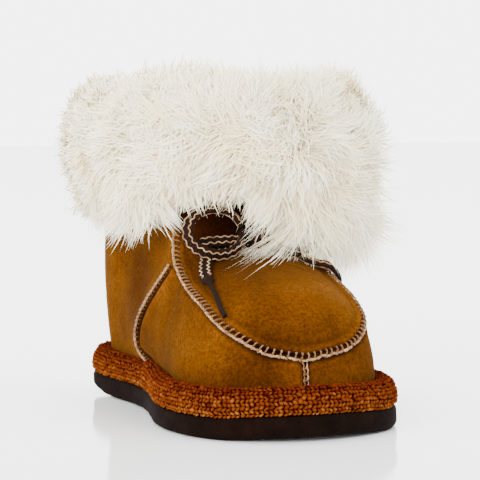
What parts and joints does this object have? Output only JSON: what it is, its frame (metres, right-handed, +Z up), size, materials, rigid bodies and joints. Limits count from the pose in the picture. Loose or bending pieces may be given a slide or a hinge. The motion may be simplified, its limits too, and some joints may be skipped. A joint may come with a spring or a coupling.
{
  "type": "baby slipper",
  "caption": "Left baby slipper: a hollow suede moccasin upper with a folded sheepskin cuff and a tied lace bow, on a flat foam-rubber sole with a knitted welt.",
  "frame": {"origin": "on the ground under the middle of the sole", "axes": "+Z up, the toe towards -Y, the heel towards +Y, the inner (medial) side of the foot towards -X"},
  "size_m": [0.0867, 0.1289, 0.0872],
  "materials": {
    "suede": "brushed suede nap",
    "foam_rubber": "matte foam",
    "knitted_tape": "coarse knit",
    "insole_felt": "short wool felt",
    "wool": "long sheepskin wool",
    "lace_braid": "flat braid"
  },
  "bodies": {
    "root": {"outsole": "foam_rubber", "insole": "insole_felt", "upper": "suede", "welt_braid": "knitted_tape", "cuff": "wool", "lace_bar": "lace_braid", "lace_knot": "lace_braid", "lace_loop_medial": "lace_braid", "lace_loop_lateral": "lace_braid", "lace_end_medial": "lace_braid", "lace_end_lateral": "lace_braid"}
  },
  "joints": []
}
